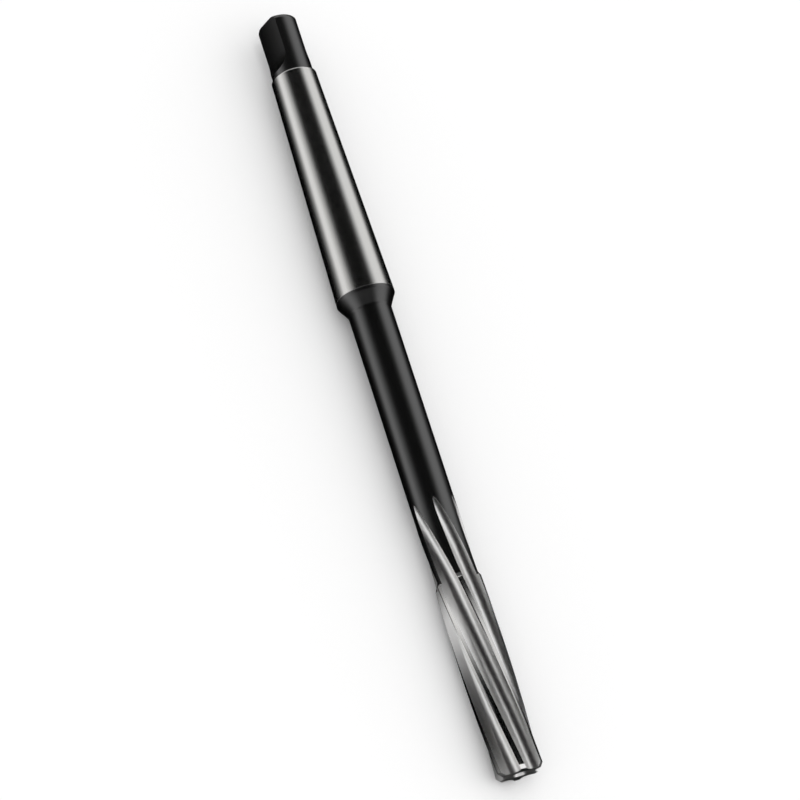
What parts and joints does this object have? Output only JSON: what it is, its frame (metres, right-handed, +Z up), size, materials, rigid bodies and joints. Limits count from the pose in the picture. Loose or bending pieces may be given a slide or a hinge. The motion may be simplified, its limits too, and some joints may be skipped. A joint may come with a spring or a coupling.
{
  "type": "machine reamer",
  "caption": "Straight machine reamer with left-hand helical flutes, a black neck and a ground Morse taper shank with a tang.",
  "frame": {"origin": "centre of the footprint, on the bench that the tool lies on", "axes": "+X along the tool towards its cutting end, +Z up, tool lying at rest"},
  "size_m": [0.168, 0.0122, 0.0122],
  "materials": {
    "high_speed_steel": "ground bright, black oxide on tang and neck"
  },
  "bodies": {
    "root": {"machine_reamer": "high_speed_steel"}
  },
  "joints": []
}
